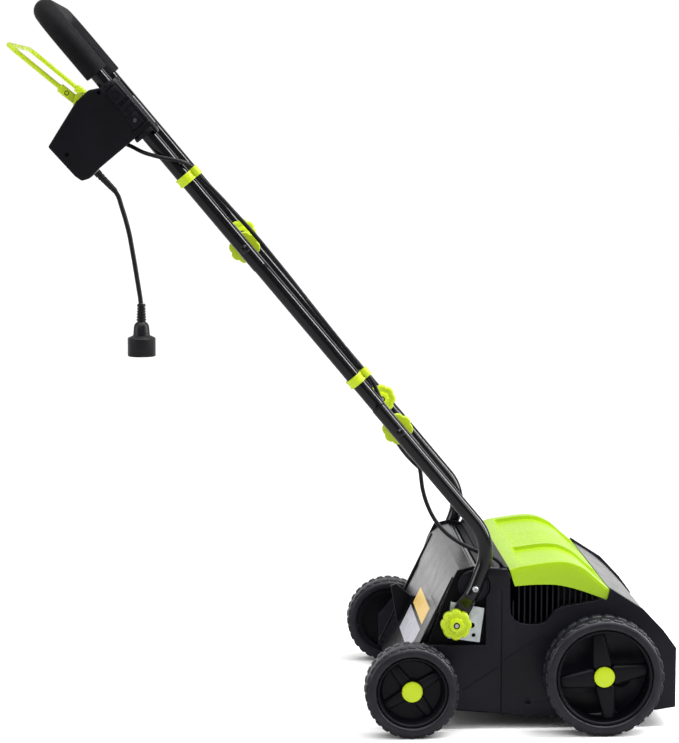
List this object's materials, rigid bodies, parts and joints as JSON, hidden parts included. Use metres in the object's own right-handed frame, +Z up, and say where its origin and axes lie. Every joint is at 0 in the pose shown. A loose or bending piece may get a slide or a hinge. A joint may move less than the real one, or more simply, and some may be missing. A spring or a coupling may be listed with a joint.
{
  "type": "lawn dethatcher",
  "caption": "Walk-behind corded lawn dethatcher with a tine reel, lime hood, rear flap, large front and small rear wheels, and a folding tubular handle with bail and switch box.",
  "frame": {"origin": "on the ground, at the middle of the machine's length and width", "axes": "+X forwards, from the handle towards the front wheels; +Y to the left; +Z up"},
  "size_m": [0.9906, 0.54, 1.0868],
  "materials": {
    "tyre_rubber": "satin black moulded tyre",
    "wheel_plastic": "satin black moulded wheel",
    "lime_shell": "semi-gloss lime green moulding",
    "lime_moulding": "semi-gloss lime green moulding",
    "lime_coated_bail": "lime green plastic-coated bail",
    "black_housing": "fine-textured black moulding",
    "gloss_cover": "polished black moulding",
    "zinc_plate": "zinc-plated pressed steel",
    "black_enamel_tube": "gloss black enamelled steel tube",
    "grip_foam": "matt black foam",
    "cable_rubber": "satin black cable jacket",
    "plug_rubber": "satin black moulded plug",
    "belt_rubber": "matt black drive belt",
    "switch_housing": "fine-textured black moulding",
    "motor_case": "cast motor case",
    "tine_steel": "plated spring steel",
    "plated_steel": "bright plated steel"
  },
  "bodies": {
    "chassis": {"side_panel_left": "black_housing", "side_panel_right": "black_housing", "front_cover": "gloss_cover", "deck": "black_housing", "hood": "lime_shell", "zinc_bracket_left": "zinc_plate", "zinc_bracket_right": "zinc_plate", "motor_can": "motor_case", "drive_belt": "belt_rubber", "reel_bearing_left": "plated_steel", "reel_bearing_right": "plated_steel", "rear_axle": "plated_steel", "front_axle_left": "plated_steel", "front_axle_right": "plated_steel", "flap_rod": "plated_steel", "lead_gland": "cable_rubber", "pivot_bolt_left": "plated_steel", "pivot_bolt_right": "plated_steel"},
    "rear_flap": {"rear_flap": "gloss_cover"},
    "tine_reel": {"reel_shaft": "plated_steel", "tine_bar_a": "tine_steel", "tine_bar_b": "tine_steel"},
    "motor_rotor": {"motor_shaft": "plated_steel"},
    "handle_lower": {"lower_tube_left": "black_enamel_tube", "lower_tube_right": "black_enamel_tube", "motor_lead_lower": "cable_rubber"},
    "handle_middle": {"middle_tube_left": "black_enamel_tube", "middle_tube_right": "black_enamel_tube", "low_bolt_left": "plated_steel", "low_bolt_right": "plated_steel", "cable_clip_low": "lime_moulding", "motor_lead_middle": "cable_rubber"},
    "handle_upper": {"upper_tube": "black_enamel_tube", "foam_grip": "grip_foam", "switch_box_outer": "switch_housing", "switch_box_inner": "switch_housing", "bail_bracket": "switch_housing", "high_bolt_left": "plated_steel", "high_bolt_right": "plated_steel", "cable_clip_high": "lime_moulding", "motor_lead_upper": "cable_rubber", "cord_boot": "cable_rubber", "power_cord": "cable_rubber", "plug": "plug_rubber"},
    "bail": {"bail_lever": "lime_coated_bail"},
    "lock_button": {"lock_button": "lime_moulding"},
    "wheel_rear_left": {"tyre_rear_left": "tyre_rubber", "rim_rear_left": "wheel_plastic"},
    "wheel_rear_right": {"tyre_rear_right": "tyre_rubber", "rim_rear_right": "wheel_plastic"},
    "wheel_front_left": {"tyre_front_left": "tyre_rubber", "rim_front_left": "wheel_plastic"},
    "wheel_front_right": {"tyre_front_right": "tyre_rubber", "rim_front_right": "wheel_plastic"},
    "lock_knob_left": {"lock_knob_left": "lime_moulding"},
    "low_knob_left": {"low_knob_left": "lime_moulding"},
    "high_knob_left": {"high_knob_left": "lime_moulding"},
    "lock_knob_right": {"lock_knob_right": "lime_moulding"},
    "low_knob_right": {"low_knob_right": "lime_moulding"},
    "high_knob_right": {"high_knob_right": "lime_moulding"}
  },
  "joints": [
    {"name": "flap_lift", "type": "hinge", "parent": "chassis", "child": "rear_flap", "pos_m": [0.1933, 0, 0.234], "axis": [0, 1, 0], "range_deg": [0, 70]},
    {"name": "reel_spin", "type": "hinge", "parent": "chassis", "child": "tine_reel", "pos_m": [0.4113, 0, 0.078], "axis": [0, 1, 0], "continuous": true},
    {"name": "motor_spin", "type": "hinge", "parent": "chassis", "child": "motor_rotor", "pos_m": [0.2933, 0, 0.168], "axis": [0, 1, 0], "continuous": true},
    {"name": "handle_tilt", "type": "hinge", "parent": "chassis", "child": "handle_lower", "pos_m": [0.1893, 0, 0.218], "axis": [0, -1, 0], "range_deg": [0, 24]},
    {"name": "fold_low", "type": "hinge", "parent": "handle_lower", "child": "handle_middle", "pos_m": [0.0763, 0, 0.452], "axis": [0, 1, 0], "range_deg": [0, 130]},
    {"name": "fold_high", "type": "hinge", "parent": "handle_middle", "child": "handle_upper", "pos_m": [-0.1507, 0, 0.724], "axis": [0, -1, 0], "range_deg": [0, 125]},
    {"name": "bail_squeeze", "type": "hinge", "parent": "handle_upper", "child": "bail", "pos_m": [-0.3857, 0, 0.938], "axis": [0, 1, 0], "range_deg": [0, 16], "stiffness_Nm_per_rad": 1.2, "springref_deg": -5.73},
    {"name": "lock_press", "type": "slide", "parent": "handle_upper", "child": "lock_button", "axis": [0, -1, 0], "range_m": [0, 0.004], "stiffness_N_per_m": 500, "springref_m": -0.002},
    {"name": "wheel_rear_left_spin", "type": "hinge", "parent": "chassis", "child": "wheel_rear_left", "pos_m": [0.0933, 0.2475, 0.07], "axis": [0, 1, 0], "continuous": true},
    {"name": "wheel_rear_right_spin", "type": "hinge", "parent": "chassis", "child": "wheel_rear_right", "pos_m": [0.0933, -0.2475, 0.07], "axis": [0, 1, 0], "continuous": true},
    {"name": "wheel_front_left_spin", "type": "hinge", "parent": "chassis", "child": "wheel_front_left", "pos_m": [0.3793, 0.2475, 0.089], "axis": [0, 1, 0], "continuous": true},
    {"name": "wheel_front_right_spin", "type": "hinge", "parent": "chassis", "child": "wheel_front_right", "pos_m": [0.3793, -0.2475, 0.089], "axis": [0, 1, 0], "continuous": true},
    {"name": "lock_knob_left_turn", "type": "hinge", "parent": "handle_lower", "child": "lock_knob_left", "pos_m": [0.1613, 0.216, 0.163], "axis": [0, 1, 0], "continuous": true},
    {"name": "low_knob_left_turn", "type": "hinge", "parent": "handle_middle", "child": "low_knob_left", "pos_m": [0.0763, 0.1865, 0.452], "axis": [0, 1, 0], "continuous": true},
    {"name": "high_knob_left_turn", "type": "hinge", "parent": "handle_upper", "child": "high_knob_left", "pos_m": [-0.1507, 0.1865, 0.724], "axis": [0, 1, 0], "continuous": true},
    {"name": "lock_knob_right_turn", "type": "hinge", "parent": "handle_lower", "child": "lock_knob_right", "pos_m": [0.1613, -0.216, 0.163], "axis": [0, 1, 0], "continuous": true},
    {"name": "low_knob_right_turn", "type": "hinge", "parent": "handle_middle", "child": "low_knob_right", "pos_m": [0.0763, -0.1865, 0.452], "axis": [0, 1, 0], "continuous": true},
    {"name": "high_knob_right_turn", "type": "hinge", "parent": "handle_upper", "child": "high_knob_right", "pos_m": [-0.1507, -0.1865, 0.724], "axis": [0, 1, 0], "continuous": true}
  ],
  "couplings": [
    {"joint": "motor_spin", "follows": "reel_spin", "ratio": 2.1429}
  ]
}
